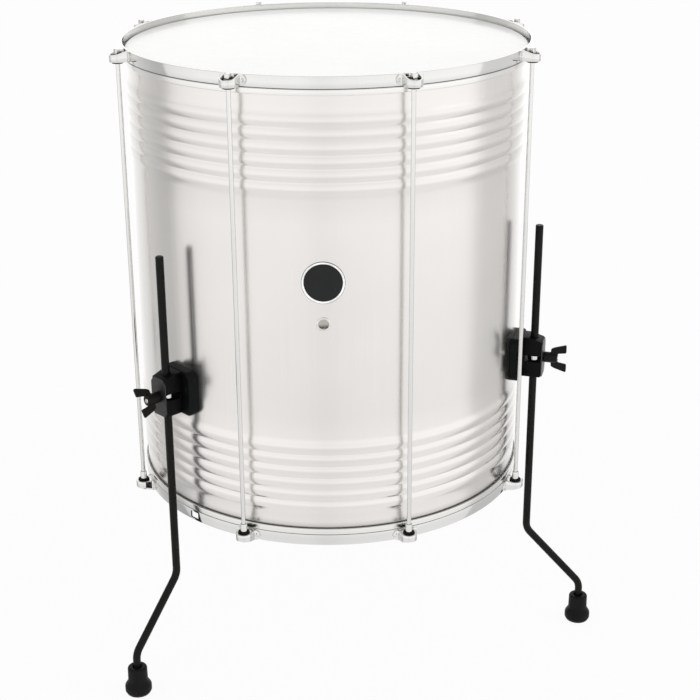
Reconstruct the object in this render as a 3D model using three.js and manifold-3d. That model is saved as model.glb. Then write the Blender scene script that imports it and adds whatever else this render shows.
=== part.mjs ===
// Surdo: a deep bass drum with a beaded aluminium shell, two heads held by pressed steel hoops,
// eight long tension rods, and three bent legs in eye-bolt clamps.
// Millimetres, +Z up. Angles round the drum start at the front (-Y) and grow towards +X.

import * as THREE from 'three';
import { mergeVertices } from 'three/addons/utils/BufferGeometryUtils.js';
import Module from 'manifold-3d';

const wasm = await Module();
wasm.setup();

// Fits and facets
const fit = 0.3;
const overrun = 2;
const ringSides = 32;
const rodSides = 8;
const boreSides = 12;
const arcSides = 8;
const cornerSides = 2;
const bendSides = 3;
const facetShare = Math.cos(Math.PI / ringSides);

// Shell: a rolled sheet with two groups of six beads, and edges turned in to carry the heads
const shellRadius = 251.6;
const shellWall = 1.6;
const shellLength = 566;
const edgeBend = 4;
const beadCount = 6;
const beadPitch = 15.8;
const beadHeight = 1.8;
const beadMargin = 34.3;
const beadShoulderShares = [0, 0.25, 0.75];
const underHoopHeight = 216.5;

// Heads: plastic film over the edge of the shell, with a flesh hoop round its skirt
const filmThickness = 0.5;
const fleshWidth = 2.9;
const fleshHeight = 7.5;
const fleshRound = 0.9;
const skirtMargin = 1.5;

// Counterhoops: flat steel bands that press on the flesh hoops, each with eight welded ears
const hoopThickness = 2.2;
const hoopHeight = 14;
const hoopRecess = 7.5;
const hoopProud = 0.3;
const lugCount = 8;
const lugStep = (2 * Math.PI) / lugCount;
const lugStart = lugStep / 2;
const earThickness = 2.2;
const earInside = 8.2;
const earFlange = 6.5;
const earRise = 1;
const earFrontHeight = 8;
const earLip = 1.2;
const earLipHole = 7.4;
const rodStandoff = 11.3;
const slotWidth = 13.5;
const slotHeight = 9.5;
const slotAngle = THREE.MathUtils.degToRad(-41.6);

// Tension rods, with a square key head in the top ear and a barrel nut in the bottom ear
const rodDiameter = 5.4;
const keyHeadSide = 6.2;
const keyHeadHeight = 7.6;
const collarDiameter = 9.6;
const collarHeight = 1.4;
const bushHeight = 4.5;
const bushNeckStand = 1.9;
const nutDiameter = 8.4;
const nutStand = 12.5;
const nutFlangeDiameter = 12.4;
const nutFlangeHeight = 2.2;
const rodEndMargin = 2;

// Vent grommet at half height on the front
const ventHoleDiameter = 12.4;
const ventNeckWall = 0.8;
const ventFlangeDiameter = 17.4;
const ventFlangeThickness = 1.5;

// Legs: round bar, straight in the clamp, then bent out to the foot
const legCount = 3;
const legStep = (2 * Math.PI) / legCount;
const legStart = THREE.MathUtils.degToRad(-45);
const legDiameter = 10;
const legSides = 10;
const legBend = 22;
const legReach = 76;
const kneeHeight = 140.6;
const ankleHeight = 57;
const legAboveClamp = 178;
const legSwivels = [5, 12, 8].map(THREE.MathUtils.degToRad);

// Rubber feet
const footNeckDiameter = 25;
const footBaseDiameter = 35;
const footHeight = 38.5;
const footBaseHeight = 11;
const footFlareHeight = 8;
const footSole = 8;
const footChamfer = 2;

// Brackets: a square block against the shell, with the clamp housing on its face
const clampRise = 170;
const baseWidth = 56;
const baseHeight = 58;
const baseThickness = 7.5;
const baseBevel = 3.5;
const baseCorner = 9;
const fixingSpacing = 36;
const fixingDiameter = 6;
const fixingHeadDiameter = 12;
const fixingHeadHeight = 4;

// Clamp housing: legGap is the room between the block's face and the leg
const legGap = 9.1;
const housingWidth = 28;
const housingBelow = 25;
const housingAbove = 29;
const housingFrontShare = 0.83;
const housingFront = 7.7;
const housingChamfer = 4;
const windowHeight = 9;

// Eye bolt round the leg, and the wing nut that pulls it outwards
const eyeSlack = 1.2;
const eyeWall = 2.8;
const eyeHeight = 7;
const studDiameter = 6;
const studProud = 1;
const wingBossDiameter = 14;
const wingBossLength = 18;
const wingThickness = 4.5;
const wingSpan = 40;
const wingRise = 12;
const wingTurns = [33, 5, 50].map(THREE.MathUtils.degToRad);

// Levels above the floor
const shellBottom = underHoopHeight + hoopRecess + filmThickness + fit;
const shellTop = shellBottom + shellLength;
const drumMiddle = shellBottom + shellLength / 2;
const drumTop = shellTop + fit + filmThickness + hoopRecess;
const clampHeight = shellBottom + clampRise;

// Radii of the rim, from the shell outwards
const skirtInner = shellRadius + fit;
const skirtOuter = skirtInner + filmThickness;
const fleshInner = skirtOuter + fit;
const fleshOuter = fleshInner + fleshWidth;
const hoopOuter = fleshOuter + hoopProud;
const hoopInner = hoopOuter - hoopThickness;
const hoopFace = hoopOuter * facetShare;
const rodCircle = hoopOuter + rodStandoff;
const earOutside = earInside + earThickness;

// Radii of the bracket, from the shell outwards
const baseFace = shellRadius + fit + baseThickness + baseBevel;
const housingBack = baseFace + fit;
const legCircle = housingBack + legGap + legDiameter / 2;
const housingFace = legCircle + legDiameter / 2 + housingFront;

const chromed = { metalness: 1, roughness: 0.12 };
const finishes = {
  aluminium: new THREE.MeshStandardMaterial({ color: 0xd9d7d3, metalness: 1, roughness: 0.28 }),
  chrome: new THREE.MeshStandardMaterial({ color: 0xe4e5e6, ...chromed }),
  fleshHoop: new THREE.MeshStandardMaterial({ color: 0xdfdfdc, metalness: 1, roughness: 0.3 }),
  head: new THREE.MeshStandardMaterial({ color: 0xf7f7f5, metalness: 0, roughness: 0.35 }),
  nylon: new THREE.MeshStandardMaterial({ color: 0x101010, metalness: 0, roughness: 0.5 }),
  blackPaint: new THREE.MeshStandardMaterial({ color: 0x161616, metalness: 0.2, roughness: 0.4 }),
  blackPlastic: new THREE.MeshStandardMaterial({ color: 0x141515, metalness: 0, roughness: 0.45 }),
  rubber: new THREE.MeshStandardMaterial({ color: 0x121212, metalness: 0, roughness: 0.8 }),
};

// A closed three.js geometry as a solid: shared corners merged, empty triangles dropped, faces out
function solidOf(geometry) {
  const bare = geometry.clone();
  bare.deleteAttribute('normal');
  bare.deleteAttribute('uv');
  const merged = mergeVertices(bare);
  const corners = merged.attributes.position.array;
  const faces = [];
  let volume = 0;
  const [a, b, c] = [new THREE.Vector3(), new THREE.Vector3(), new THREE.Vector3()];
  for (let i = 0; i < merged.index.count; i += 3) {
    const [p, q, r] = [merged.index.getX(i), merged.index.getX(i + 1), merged.index.getX(i + 2)];
    if (p === q || q === r || r === p) continue;
    faces.push(p, q, r);
    a.fromArray(corners, 3 * p);
    b.fromArray(corners, 3 * q);
    c.fromArray(corners, 3 * r);
    volume += a.dot(b.cross(c));
  }
  if (volume < 0) faces.reverse();
  const mesh = { numProp: 3, vertProperties: new Float32Array(corners), triVerts: new Uint32Array(faces) };
  return new wasm.Manifold(new wasm.Mesh(mesh));
}

function geometryOf(solid) {
  const mesh = solid.getMesh();
  const geometry = new THREE.BufferGeometry();
  geometry.setAttribute('position', new THREE.BufferAttribute(new Float32Array(mesh.vertProperties), 3));
  geometry.setIndex(new THREE.BufferAttribute(new Uint32Array(mesh.triVerts), 1));
  geometry.computeVertexNormals();
  return geometry;
}

function named(name, solid, finish) {
  const mesh = new THREE.Mesh(geometryOf(solid), finish);
  mesh.name = name;
  return mesh;
}

// Turned shapes about the Z axis, with a flat side towards -Y: a profile lists [radius, height],
// and closes on itself unless it starts on the axis
function turned(profile, sides) {
  const points = profile.map(([radius, height]) => new THREE.Vector2(radius, height));
  if (profile[0][0] !== 0) points.push(points[0].clone());
  return new THREE.LatheGeometry(points, sides, Math.PI / sides).rotateX(Math.PI / 2);
}

// Corner radius of a bore whose flat sides clear a round piece of this radius
function bore(radius, sides) {
  return (radius + fit) / Math.cos(Math.PI / sides);
}

function drum(radius, bottom, top, sides) {
  return turned([[0, bottom], [radius, bottom], [radius, top], [0, top]], sides);
}

// Turned shapes whose axis runs outwards along +X
function turnedOutwards(profile, sides) {
  return turned(profile, sides).rotateY(Math.PI / 2);
}

function pin(radius, from, to, sides) {
  return turnedOutwards([[0, from], [radius, from], [radius, to], [0, to]], sides);
}

// A plan outline (X outwards, Y round the drum) raised from one level to another
function raised(shape, bottom, top) {
  const options = { depth: top - bottom, bevelEnabled: false, curveSegments: arcSides / 2 };
  return new THREE.ExtrudeGeometry(shape, options).translate(0, 0, bottom);
}

// A side outline (X outwards, Y up) given width about the plane of the leg or lug
function widened(shape, width) {
  const options = { depth: width, bevelEnabled: false };
  return new THREE.ExtrudeGeometry(shape, options).translate(0, 0, -width / 2).rotateX(Math.PI / 2);
}

function outline(points) {
  return new THREE.Shape(points.map(([x, y]) => new THREE.Vector2(x, y)));
}

function roundedPlate(width, height, corner) {
  const [x, y] = [width / 2, height / 2];
  const shape = new THREE.Shape();
  shape.moveTo(corner - x, -y);
  shape.lineTo(x - corner, -y);
  shape.absarc(x - corner, corner - y, corner, -Math.PI / 2, 0);
  shape.absarc(x - corner, y - corner, corner, 0, Math.PI / 2);
  shape.absarc(corner - x, y - corner, corner, Math.PI / 2, Math.PI);
  shape.absarc(corner - x, corner - y, corner, Math.PI, (3 * Math.PI) / 2);
  return shape;
}

// A group turned to an angle round the drum, with its own X axis pointing outwards
function station(angle) {
  const group = new THREE.Group();
  group.rotation.z = angle - Math.PI / 2;
  return group;
}

function turnTo(geometry, angle) {
  return geometry.rotateZ(angle - Math.PI / 2);
}

// The same piece turned upside down for the bottom of the drum, about the middle of the drum
function flipped(geometry) {
  return geometry.translate(0, 0, -drumMiddle).rotateX(Math.PI).translate(0, 0, drumMiddle);
}

// Shell

// One group of beads, from the valley at its start to the valley at its end
function beadLine(start) {
  const points = [];
  for (let bead = 0; bead < beadCount; bead += 1) {
    for (const share of beadShoulderShares) {
      points.push([shellRadius + (share ? beadHeight : 0), start + (bead + share) * beadPitch]);
    }
  }
  return [...points, [shellRadius, start + beadCount * beadPitch]];
}

// The wall turned in at an end: way is 1 at the top and -1 at the bottom
function turnedEdge(end, way) {
  const corner = shellRadius - edgeBend;
  const level = end - way * edgeBend;
  const inner = edgeBend - shellWall;
  return [[shellRadius, level], [corner, end], [corner, level + way * inner], [corner + inner, level]];
}

function shellSolid() {
  const lowBeads = beadLine(shellBottom + beadMargin);
  const highBeads = beadLine(shellTop - beadMargin - beadCount * beadPitch);
  const bottomEdge = turnedEdge(shellBottom, -1).reverse();
  const topEdge = turnedEdge(shellTop, 1);
  const wall = solidOf(turned([...bottomEdge, ...lowBeads, ...highBeads, ...topEdge], ringSides));
  let cut = wall.subtract(solidOf(drilled(ventHoleDiameter / 2 + ventNeckWall, drumMiddle, 0)));
  for (const angle of legAngles) {
    for (const height of fixingHeights) {
      cut = cut.subtract(solidOf(drilled(fixingDiameter / 2, height, angle)));
    }
  }
  return cut;
}

function drilled(radius, height, angle) {
  const from = shellRadius - edgeBend - overrun;
  const drill = pin(bore(radius, boreSides), from, shellRadius + overrun, boreSides);
  return turnTo(drill.translate(0, 0, height), angle);
}

const legAngles = Array.from({ length: legCount }, (_, i) => legStart + i * legStep);
const lugAngles = Array.from({ length: lugCount }, (_, i) => lugStart + i * lugStep);
const fixingHeights = [clampHeight - fixingSpacing / 2, clampHeight + fixingSpacing / 2];

// Vent grommet: a neck through the shell with a flange on each side
function grommetSolid() {
  const [hollow, neck] = [ventHoleDiameter / 2, ventHoleDiameter / 2 + ventNeckWall];
  const flange = ventFlangeDiameter / 2;
  const outer = shellRadius * facetShare + fit;
  const inner = (shellRadius - shellWall) * facetShare - fit;
  const profile = [
    [hollow, inner - ventFlangeThickness], [flange, inner - ventFlangeThickness], [flange, inner],
    [neck, inner], [neck, outer], [flange, outer],
    [(neck + flange) / 2, outer + ventFlangeThickness], [hollow, outer + ventFlangeThickness],
  ];
  return solidOf(turnTo(turnedOutwards(profile, boreSides).translate(0, 0, drumMiddle), 0));
}

// Head: film across the edge, round its bend and down inside the flesh hoop
function headGeometry() {
  const [under, over] = [fit, fit + filmThickness];
  const corner = shellRadius - edgeBend;
  const level = shellTop - edgeBend;
  const skirtEnd = drumTop - hoopHeight - fit - fleshHeight + skirtMargin;
  const inside = [
    [0, shellTop + under], [corner, shellTop + under], [skirtInner, level], [skirtInner, skirtEnd],
  ];
  const outside = [
    [skirtOuter, skirtEnd], [skirtOuter, level], [corner, shellTop + over], [0, shellTop + over],
  ];
  return turned([...inside, ...outside], ringSides);
}

// Flesh hoop: a plain ring with its outer edges eased
function fleshGeometry() {
  const top = drumTop - hoopHeight - fit;
  const bottom = top - fleshHeight;
  return turned([
    [fleshInner, bottom], [fleshOuter - fleshRound, bottom], [fleshOuter, bottom + fleshRound],
    [fleshOuter, top - fleshRound], [fleshOuter - fleshRound, top], [fleshInner, top],
  ], ringSides);
}

// Ear outline in plan: a strap looped round the rod, open towards the hoop
function loopShape(inset, start) {
  const half = earInside - inset;
  const shape = new THREE.Shape();
  shape.moveTo(start, -half);
  shape.lineTo(rodCircle, -half);
  shape.absarc(rodCircle, 0, half, -Math.PI / 2, Math.PI / 2);
  shape.lineTo(start, half);
  shape.closePath();
  return shape;
}

const hoopBottom = drumTop - hoopHeight;
const earBottom = hoopBottom + earRise;

function earSolid() {
  const root = hoopFace - hoopThickness / 2;
  const flangeFace = hoopFace + earThickness;
  const strap = solidOf(raised(loopShape(-earThickness, root), earBottom, drumTop));
  const flangeHalf = earOutside + earFlange;
  const flange = solidOf(raised(outline([
    [root, -flangeHalf], [flangeFace, -flangeHalf], [flangeFace, flangeHalf], [root, flangeHalf],
  ]), earBottom, drumTop));
  const pocket = solidOf(raised(loopShape(0, hoopFace), earBottom + earLip, drumTop + overrun));
  const lipHole = drum(earLipHole, earBottom - overrun, drumTop, arcSides).translate(rodCircle, 0, 0);
  const front = rodCircle + earOutside;
  const frontTop = earBottom + earFrontHeight;
  const slope = solidOf(widened(outline([
    [flangeFace, drumTop], [front + overrun, frontTop], [front + overrun, drumTop + overrun],
    [flangeFace, drumTop + overrun],
  ]), 2 * flangeHalf));
  return strap.add(flange).subtract(pocket).subtract(solidOf(lipHole)).subtract(slope);
}

// Counterhoop with its ears, as it sits on top of the drum
function hoopGeometry() {
  let hoop = solidOf(turned([
    [hoopInner, hoopBottom], [hoopOuter, hoopBottom], [hoopOuter, drumTop], [hoopInner, drumTop],
  ], ringSides));
  const ear = geometryOf(earSolid());
  for (const angle of lugAngles) {
    hoop = hoop.add(solidOf(turnTo(ear.clone(), angle)));
  }
  return geometryOf(hoop);
}

function slottedBottomHoop() {
  const hoop = solidOf(flipped(hoopGeometry()));
  const level = underHoopHeight + hoopHeight / 2;
  const box = new THREE.BoxGeometry(2 * hoopThickness + 2 * overrun, slotWidth, slotHeight);
  box.translate(hoopOuter, 0, level);
  return hoop.subtract(solidOf(turnTo(box, slotAngle)));
}

// Nylon bush: it fills the ear's pocket round a bore, and its neck stands out through the lip's hole
function bushGeometry(radius) {
  const bottom = earBottom + earLip + fit;
  const neckEnd = earBottom - bushNeckStand;
  const body = solidOf(raised(loopShape(fit, hoopFace + fit), bottom, bottom + bushHeight));
  const neck = drum(earLipHole - fit, neckEnd, bottom + bushHeight / 2, arcSides).translate(rodCircle, 0, 0);
  const hollow = drum(bore(radius, arcSides), neckEnd - overrun, drumTop, arcSides);
  return geometryOf(body.add(solidOf(neck)).subtract(solidOf(hollow.translate(rodCircle, 0, 0))));
}

// Tension rod, about its own axis: plain bar, round collar, square key head
const bushTop = earBottom + earLip + fit + bushHeight;
const bottomBushUnder = 2 * drumMiddle - bushTop;
const nutUnder = bottomBushUnder - fit - nutFlangeHeight;
const nutTop = 2 * drumMiddle - earBottom + nutStand;

function rodSolid() {
  const collarBottom = bushTop + fit;
  const collarTop = collarBottom + collarHeight;
  const bar = solidOf(turned([
    [0, nutUnder + rodEndMargin], [rodDiameter / 2, nutUnder + rodEndMargin],
    [rodDiameter / 2, collarBottom], [collarDiameter / 2, collarBottom],
    [collarDiameter / 2, collarTop], [0, collarTop],
  ], rodSides));
  const head = new THREE.BoxGeometry(keyHeadSide, keyHeadSide, keyHeadHeight);
  return bar.add(solidOf(head.translate(0, 0, collarTop + keyHeadHeight / 2 - fit)));
}

// Barrel nut: a round barrel up through the bush, a flange under it, and a blind bore for the rod
function nutSolid() {
  const [barrel, flange] = [nutDiameter / 2, nutFlangeDiameter / 2];
  const hollow = bore(rodDiameter / 2, rodSides);
  const floor = nutUnder + rodEndMargin - fit;
  return solidOf(turned([
    [0, nutUnder], [flange, nutUnder], [flange, nutUnder + nutFlangeHeight],
    [barrel, nutUnder + nutFlangeHeight], [barrel, nutTop], [hollow, nutTop], [hollow, floor], [0, floor],
  ], rodSides));
}

// Bracket base: a block with eased edges, curved to the shell, with its two fixing bolts
function baseSolid(angle) {
  const plate = roundedPlate(baseHeight - 2 * baseBevel, baseWidth - 2 * baseBevel, baseCorner - baseBevel);
  const depth = baseThickness + overrun + baseWidth / 8;
  const block = new THREE.ExtrudeGeometry(plate, {
    depth, bevelThickness: baseBevel, bevelSize: baseBevel, bevelSegments: 1, curveSegments: cornerSides / 2,
  });
  block.rotateY(Math.PI / 2).translate(baseFace - baseBevel - depth, 0, clampHeight);
  let base = solidOf(turnTo(block, angle));
  base = base.subtract(solidOf(drum(shellRadius + fit, 0, drumTop, ringSides)));
  const wallInside = (shellRadius - shellWall) * facetShare;
  for (const height of fixingHeights) {
    const bolt = solidOf(turnedOutwards([
      [0, wallInside - fit - fixingHeadHeight], [fixingHeadDiameter / 2, wallInside - fit - fixingHeadHeight],
      [fixingHeadDiameter / 2, wallInside - fit], [fixingDiameter / 2, wallInside - fit],
      [fixingDiameter / 2, baseFace - baseBevel], [0, baseFace - baseBevel],
    ], rodSides).translate(0, 0, height).rotateZ(angle - Math.PI / 2));
    base = base.add(bolt);
  }
  return base;
}

// Clamp housing: bored for the leg, with a window for the eye and a hole for its stud
function housingSolid() {
  const half = housingWidth / 2;
  const shape = outline([
    [housingBack, -half], [housingFace - housingChamfer, -half], [housingFace, housingChamfer - half],
    [housingFace, half - housingChamfer], [housingFace - housingChamfer, half], [housingBack, half],
  ]);
  const side = outline([
    [housingBack, -housingBelow], [housingFace - housingChamfer, -housingBelow],
    [housingFace, housingChamfer - housingBelow], [housingFace, housingAbove * housingFrontShare],
    [housingBack + legGap, housingAbove], [housingBack, housingAbove],
  ]);
  const column = solidOf(raised(shape, clampHeight - housingBelow, clampHeight + housingAbove));
  const legBore = bore(legDiameter / 2, boreSides);
  const drill = drum(legBore, 0, drumTop, boreSides).translate(legCircle, 0, 0);
  const block = column.intersect(solidOf(widened(side, housingWidth).translate(0, 0, clampHeight)))
    .subtract(solidOf(drill));
  const eyeReach = eyeCentre + eyeOuter + fit;
  const windowBack = legCircle - eyeOuter - eyeTravel - fit;
  const window = new THREE.BoxGeometry(eyeReach - windowBack, housingWidth + overrun, windowHeight);
  window.translate((eyeReach + windowBack) / 2, 0, clampHeight);
  const studHole = pin(bore(studDiameter / 2, rodSides), legCircle, housingFace + overrun, rodSides);
  return block.subtract(solidOf(window)).subtract(solidOf(studHole.translate(0, 0, clampHeight)));
}

// Eye bolt: a ring round the leg with a threaded stud out through the housing
const eyeBore = bore(legDiameter / 2 + eyeSlack, arcSides);
const eyeOuter = eyeBore + eyeWall;
const eyeCentre = legCircle + eyeSlack;
const eyeTravel = 2 * eyeSlack;
const bossStart = housingFace + fit;

function eyeBoltSolid() {
  const ring = turned([
    [eyeBore, -eyeHeight / 2], [eyeOuter, -eyeHeight / 2],
    [eyeOuter, eyeHeight / 2], [eyeBore, eyeHeight / 2],
  ], arcSides).translate(eyeCentre, 0, clampHeight);
  const studFrom = eyeCentre + eyeBore + eyeWall / 2;
  const studTo = bossStart + wingBossLength + studProud;
  const stud = pin(studDiameter / 2, studFrom, studTo, rodSides).translate(0, 0, clampHeight);
  return solidOf(ring).add(solidOf(stud));
}

// Wing nut: a round boss bored for the stud, with two wings that rise past its end
function wingNutSolid(turn) {
  const [radius, hollow] = [wingBossDiameter / 2, bore(studDiameter / 2, rodSides)];
  const [root, end, tip] = [wingBossLength / 2, wingBossLength, wingSpan / 2];
  const boss = solidOf(turnedOutwards([
    [hollow, 0], [radius, 0], [radius, end], [hollow, end],
  ], rodSides));
  const [shoulderShare, crookShare, heelShare] = [0.62, 0.74, 0.42];
  const wing = outline([
    [root, hollow + fit], [root + fit, tip * shoulderShare], [root + wingThickness, tip * crookShare],
    [end + wingRise, tip], [end + wingRise, tip * heelShare], [end, radius], [end, hollow + fit],
  ]);
  const upper = solidOf(widened(wing, wingThickness));
  const lower = solidOf(widened(wing, wingThickness).rotateX(Math.PI));
  const joined = geometryOf(boss.add(upper).add(lower));
  return solidOf(joined.rotateX(turn).translate(bossStart, 0, clampHeight));
}

// Leg: a bar along a bent line, its bends laid out as short arcs
class BentLine extends THREE.Curve {
  constructor(points) {
    super();
    this.points = points;
  }

  getPoint(t, target = new THREE.Vector3()) {
    const spans = this.points.length - 1;
    const span = Math.min(Math.floor(t * spans), spans - 1);
    return target.lerpVectors(this.points[span], this.points[span + 1], t * spans - span);
  }

  getPointAt(u, target) {
    return this.getPoint(u, target);
  }

  getTangentAt(u, target) {
    return this.getTangent(u, target);
  }
}

function bendPoints(before, corner, after) {
  const [into, out] = [before.clone().sub(corner).normalize(), after.clone().sub(corner).normalize()];
  const halfAngle = into.angleTo(out) / 2;
  const centreWay = into.clone().add(out).normalize();
  const centre = corner.clone().addScaledVector(centreWay, legBend / Math.sin(halfAngle));
  const setback = legBend / Math.tan(halfAngle);
  const [start, end] = [into, out].map((way) => corner.clone().addScaledVector(way, setback).sub(centre));
  return Array.from({ length: bendSides + 1 }, (_, i) => {
    const point = start.clone().lerp(end, i / bendSides);
    return point.setLength(legBend).add(centre);
  });
}

function legSolid() {
  const [top, knee, ankle, end] = [
    [0, clampHeight + legAboveClamp], [0, kneeHeight], [legReach, ankleHeight], [legReach, footSole],
  ].map(([out, height]) => new THREE.Vector3(out, 0, height));
  const points = [top, ...bendPoints(top, knee, ankle), ...bendPoints(knee, ankle, end), end];
  const section = new THREE.Shape();
  section.absarc(0, 0, legDiameter / 2, 0, 2 * Math.PI);
  return solidOf(new THREE.ExtrudeGeometry(section, {
    steps: points.length - 1, curveSegments: legSides / 2, extrudePath: new BentLine(points),
  }));
}

// Rubber foot: a neck bored for the leg, flaring to a flat sole
function footSolid() {
  const [neck, base] = [footNeckDiameter / 2, footBaseDiameter / 2];
  const hollow = bore(legDiameter / 2, boreSides);
  const flareTop = footBaseHeight + footFlareHeight;
  return solidOf(turned([
    [0, 0], [base - footChamfer, 0], [base, footChamfer], [base, footBaseHeight], [neck, flareTop],
    [neck, footHeight - footChamfer], [neck - footChamfer, footHeight], [hollow, footHeight],
    [hollow, footSole - fit], [0, footSole - fit],
  ], boreSides).translate(legReach, 0, 0));
}

// Assembly, round the drum's own axis

const surdo = new THREE.Group();
surdo.add(
  named('shell', shellSolid(), finishes.aluminium),
  named('vent_grommet', grommetSolid(), finishes.chrome),
  named('top_head', solidOf(headGeometry()), finishes.head),
  named('bottom_head', solidOf(flipped(headGeometry())), finishes.head),
  named('top_flesh_hoop', solidOf(fleshGeometry()), finishes.fleshHoop),
  named('bottom_flesh_hoop', solidOf(flipped(fleshGeometry())), finishes.fleshHoop),
  named('top_hoop', solidOf(hoopGeometry()), finishes.chrome),
  named('bottom_hoop', slottedBottomHoop(), finishes.chrome),
);

const rod = rodSolid();
const nut = nutSolid();
const topBush = solidOf(bushGeometry(rodDiameter / 2));
const bottomBush = solidOf(flipped(bushGeometry(nutDiameter / 2)));
lugAngles.forEach((angle, i) => {
  const lug = station(angle);
  const tensionRod = named(`tension_rod_${i + 1}`, rod, finishes.chrome);
  const rodNut = named(`rod_nut_${i + 1}`, nut, finishes.chrome);
  tensionRod.position.x = rodCircle;
  rodNut.position.x = rodCircle;
  lug.add(tensionRod, rodNut);
  lug.add(named(`top_bush_${i + 1}`, topBush, finishes.nylon));
  lug.add(named(`bottom_bush_${i + 1}`, bottomBush, finishes.nylon));
  surdo.add(lug);
});

const housing = housingSolid();
const eyeBolt = eyeBoltSolid();
const leg = legSolid();
const foot = footSolid();
legAngles.forEach((angle, i) => {
  const bracket = station(angle);
  const swivel = new THREE.Group();
  swivel.position.x = legCircle;
  swivel.rotation.z = legSwivels[i % legSwivels.length];
  swivel.add(named(`leg_${i + 1}`, leg, finishes.blackPaint), named(`foot_${i + 1}`, foot, finishes.rubber));
  bracket.add(
    swivel,
    named(`clamp_housing_${i + 1}`, housing, finishes.blackPaint),
    named(`eye_bolt_${i + 1}`, eyeBolt, finishes.chrome),
    named(`wing_nut_${i + 1}`, wingNutSolid(wingTurns[i % wingTurns.length]), finishes.blackPaint),
  );
  surdo.add(bracket, named(`bracket_base_${i + 1}`, baseSolid(angle), finishes.blackPlastic));
});

// The origin is on the floor, under the middle of the whole part
const bounds = new THREE.Box3().setFromObject(surdo, true);
const middle = bounds.getCenter(new THREE.Vector3());
surdo.position.set(-middle.x, -middle.y, -bounds.min.z);

export default surdo;
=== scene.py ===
from functools import partial
from math import atan2, cos, pi, radians, sin, sqrt, tan

import bmesh
import bpy
from mathutils import Matrix, Vector


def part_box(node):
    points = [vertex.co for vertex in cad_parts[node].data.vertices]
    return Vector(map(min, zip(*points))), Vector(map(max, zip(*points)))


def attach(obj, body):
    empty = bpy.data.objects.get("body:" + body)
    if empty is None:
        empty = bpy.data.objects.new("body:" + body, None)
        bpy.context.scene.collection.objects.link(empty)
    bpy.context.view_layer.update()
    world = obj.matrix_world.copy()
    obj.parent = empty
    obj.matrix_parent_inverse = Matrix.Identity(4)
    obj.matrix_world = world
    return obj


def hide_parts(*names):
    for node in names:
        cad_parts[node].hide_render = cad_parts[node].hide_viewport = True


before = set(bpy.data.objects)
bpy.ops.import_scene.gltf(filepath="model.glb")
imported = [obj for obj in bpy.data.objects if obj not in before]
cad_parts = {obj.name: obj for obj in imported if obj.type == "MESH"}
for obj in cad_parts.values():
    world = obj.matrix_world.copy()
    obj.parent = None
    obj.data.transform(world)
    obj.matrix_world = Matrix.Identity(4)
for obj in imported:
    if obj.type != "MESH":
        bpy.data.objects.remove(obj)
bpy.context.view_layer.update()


# Shell: one sheet of bright aluminium, rolled round and welded, with six beads pressed into it near each end
# and its edges turned in to carry the heads. It is drilled for the vent and for the bolts of the three leg
# brackets.
mm = 0.001
shell_low, shell_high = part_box("shell")
shell_bottom, shell_top = shell_low.z, shell_high.z
drum_axis = Vector(((shell_low.x + shell_high.x) / 2, (shell_low.y + shell_high.y) / 2, 0))
shell_radius, shell_wall, edge_bend = 251.6 * mm, 1.6 * mm, 4 * mm
bead_count, bead_pitch, bead_height, bead_margin = 6, 15.8 * mm, 1.75 * mm, 34.3 * mm
vent_level, vent_hole = (shell_bottom + shell_top) / 2, 6.2 * mm
clamp_level, fixing_rise, fixing_hole = shell_bottom + 170 * mm, 18 * mm, 3.3 * mm
fixing_levels = [clamp_level - fixing_rise, clamp_level + fixing_rise]
leg_angles = [-45, 75, 195]
drill_in, drill_out = -8 * mm, 6 * mm
# Painted shade on the shell where it meets the bottom flesh hoop: its strength, how far up it reaches, and
# its colour
rim_shade_share, rim_shade_reach, rim_shade_colour = 0.36, 8 * mm, (0.1, 0.1, 0.1, 1)


def step(tree, kind, *feeds, **settings):
    """Adds a node to a tree, with its settings, and feeds its sockets in order: other sockets or values."""
    node = tree.nodes.new(kind)
    for name, value in settings.items():
        setattr(node, name, value)
    for socket, feed in zip(node.inputs, feeds):
        if isinstance(feed, bpy.types.NodeSocket):
            tree.links.new(feed, socket)
        elif feed is not None:
            socket.default_value = feed
    return node


def figure(tree, operation, *feeds):
    """The result of one Math node."""
    return step(tree, "ShaderNodeMath", *feeds, operation=operation).outputs[0]


def between(tree, value, low, high, start, end):
    """The result of one clamped Map Range node."""
    return step(tree, "ShaderNodeMapRange", value, low, high, start, end).outputs["Result"]


def noise(tree, place, scale, detail, roughness):
    """The result of one Noise Texture node."""
    return step(tree, "ShaderNodeTexNoise", place, None, scale, detail, roughness).outputs[0]


def blend(tree, share, first, second):
    """The result of one Mix node, from colours or sockets."""
    mix = step(tree, "ShaderNodeMix", data_type="RGBA")
    for socket, feed in (("Factor", share), ("A", first), ("B", second)):
        if isinstance(feed, bpy.types.NodeSocket):
            tree.links.new(feed, mix.inputs[socket])
        else:
            mix.inputs[socket].default_value = feed
    return mix.outputs["Result"]


def object_place(tree):
    """Where a point lies on the drum."""
    return step(tree, "ShaderNodeTexCoord").outputs["Object"]


def split(tree, place):
    """The X, Y and Z of a place."""
    return step(tree, "ShaderNodeSeparateXYZ", place).outputs


def new_effect(name, **inputs):
    """A shader node group with named inputs, which puts out a colour, a roughness and a height."""
    group = bpy.data.node_groups.new(name, "ShaderNodeTree")
    for socket, value in inputs.items():
        kind = "NodeSocketColor" if isinstance(value, tuple) else "NodeSocketFloat"
        group.interface.new_socket(socket, in_out="INPUT", socket_type=kind).default_value = value
    for socket, kind in (("Colour", "Color"), ("Roughness", "Float"), ("Height", "Float")):
        group.interface.new_socket(socket, in_out="OUTPUT", socket_type=f"NodeSocket{kind}")
    return group, group.nodes.new("NodeGroupInput").outputs


def finish_effect(group, colour, tone, roughness, height):
    """Ends a shader node group: its colour in a varying tone, its roughness and its height."""
    shade = step(group, "ShaderNodeVectorMath", colour, operation="SCALE")
    group.links.new(tone, shade.inputs["Scale"])
    step(group, "NodeGroupOutput", shade.outputs[0], roughness, height)


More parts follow.
